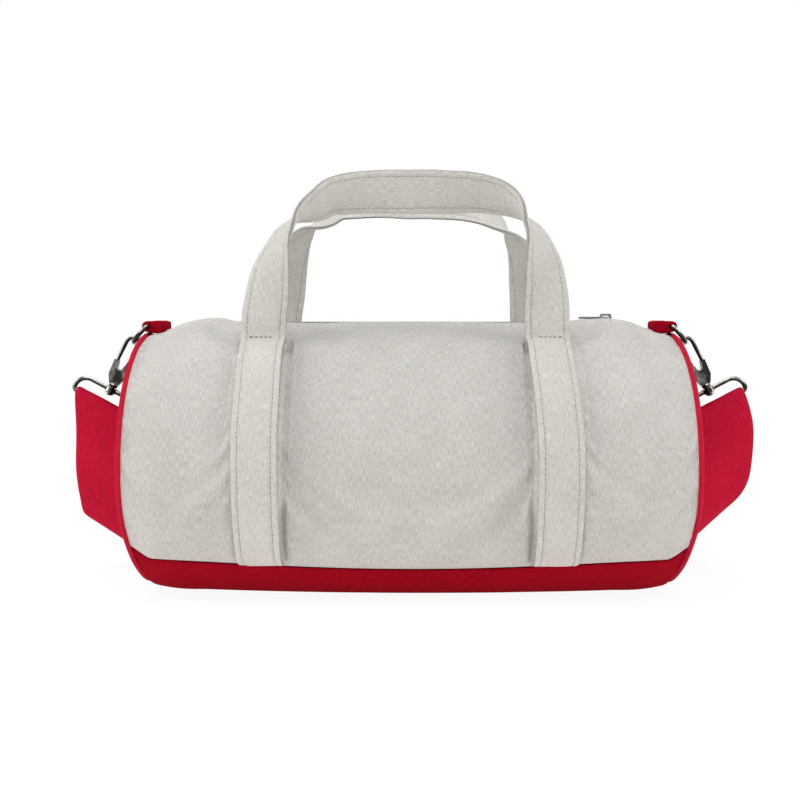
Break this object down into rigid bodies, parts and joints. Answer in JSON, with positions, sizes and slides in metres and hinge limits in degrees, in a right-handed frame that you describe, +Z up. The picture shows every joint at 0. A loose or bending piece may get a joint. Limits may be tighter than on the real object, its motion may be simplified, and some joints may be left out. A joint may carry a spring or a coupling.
{
  "type": "barrel bag",
  "caption": "Soft canvas barrel bag with a contrasting base and round ends, a top zip, two carrying handles and a clip-on shoulder strap on swivel snap hooks.",
  "frame": {"origin": "on the floor under the middle of the base", "axes": "+X along the barrel to the right as seen from the front, -Y to the front, +Z up"},
  "size_m": [0.5318, 0.2305, 0.3085],
  "materials": {
    "canvas": "heavy cotton canvas, natural, plain weave with darker flecks",
    "handle_canvas": "doubled cotton canvas strip with stitched edges",
    "red_canvas": "heavy cotton canvas, dyed red",
    "red_piping": "canvas-covered piping cord, red",
    "red_webbing": "woven webbing, red, fine ribs across",
    "zip_tape": "woven zip tape, natural",
    "zip_metal": "nickel-plated zip teeth and slider",
    "nickel": "polished nickel plate",
    "spring_steel": "bare spring strip"
  },
  "bodies": {
    "bag": {"back_left_handle_leg": "handle_canvas", "back_panel": "canvas", "back_right_handle_leg": "handle_canvas", "back_zip_tape": "zip_tape", "back_zip_teeth": "zip_metal", "base_panel": "red_canvas", "front_left_handle_leg": "handle_canvas", "front_panel": "canvas", "front_right_handle_leg": "handle_canvas", "front_zip_tape": "zip_tape", "front_zip_teeth": "zip_metal", "left_end_panel": "red_canvas", "left_piping": "red_piping", "left_ring_tab": "red_canvas", "right_end_panel": "red_canvas", "right_piping": "red_piping", "right_ring_tab": "red_canvas", "shoulder_strap": "red_webbing", "zip_stops": "zip_metal"},
    "front_handle": {"front_handle": "handle_canvas"},
    "back_handle": {"back_handle": "handle_canvas"},
    "zip_slider": {"zip_slider": "zip_metal"},
    "zip_pull": {"zip_pull": "zip_metal"},
    "left_ring": {"left_d_ring": "nickel", "left_swivel_eye": "nickel"},
    "left_hook": {"left_snap_hook": "nickel", "left_gate_pin": "nickel", "left_gate_spring": "spring_steel"},
    "left_gate": {"left_hook_gate": "nickel"},
    "right_ring": {"right_d_ring": "nickel", "right_swivel_eye": "nickel"},
    "right_hook": {"right_snap_hook": "nickel", "right_gate_pin": "nickel", "right_gate_spring": "spring_steel"},
    "right_gate": {"right_hook_gate": "nickel"}
  },
  "joints": [
    {"name": "front_handle_swing", "type": "hinge", "parent": "bag", "child": "front_handle", "pos_m": [0, -0.0532, 0.18715], "axis": [1, 0, 0], "range_deg": [-15, 100]},
    {"name": "back_handle_swing", "type": "hinge", "parent": "bag", "child": "back_handle", "pos_m": [0, 0.0532, 0.18715], "axis": [-1, 0, 0], "range_deg": [-15, 100]},
    {"name": "zip_slide", "type": "slide", "parent": "bag", "child": "zip_slider", "axis": [-1, 0, 0], "range_m": [0, 0.295], "deforming": ["front_zip_teeth", "back_zip_teeth"]},
    {"name": "zip_pull_swing", "type": "hinge", "parent": "zip_slider", "child": "zip_pull", "pos_m": [0.1508, 0, 0.2021], "axis": [0, 1, 0], "range_deg": [0, 175]},
    {"name": "left_ring_swing", "type": "hinge", "parent": "bag", "child": "left_ring", "pos_m": [-0.198, 0, 0.19565], "axis": [0, 1, 0], "range_deg": [0, 40], "deforming": ["shoulder_strap"]},
    {"name": "left_hook_swivel", "type": "hinge", "parent": "left_ring", "child": "left_hook", "pos_m": [-0.21055, 0, 0.1831], "axis": [-0.4695, 0, -0.8829], "range_deg": [-35, 35]},
    {"name": "left_gate_open", "type": "hinge", "parent": "left_hook", "child": "left_gate", "pos_m": [-0.2202, 0, 0.15878], "axis": [0, -1, 0], "range_deg": [0, 20], "stiffness_Nm_per_rad": 0.02, "springref_deg": -17.19, "deforming": ["left_gate_spring"]},
    {"name": "right_ring_swing", "type": "hinge", "parent": "bag", "child": "right_ring", "pos_m": [0.198, 0, 0.19565], "axis": [0, -1, 0], "range_deg": [0, 40], "deforming": ["shoulder_strap"]},
    {"name": "right_hook_swivel", "type": "hinge", "parent": "right_ring", "child": "right_hook", "pos_m": [0.21055, 0, 0.1831], "axis": [0.4695, 0, -0.8829], "range_deg": [-35, 35]},
    {"name": "right_gate_open", "type": "hinge", "parent": "right_hook", "child": "right_gate", "pos_m": [0.2202, 0, 0.15878], "axis": [0, 1, 0], "range_deg": [0, 20], "stiffness_Nm_per_rad": 0.02, "springref_deg": -17.19, "deforming": ["right_gate_spring"]}
  ]
}
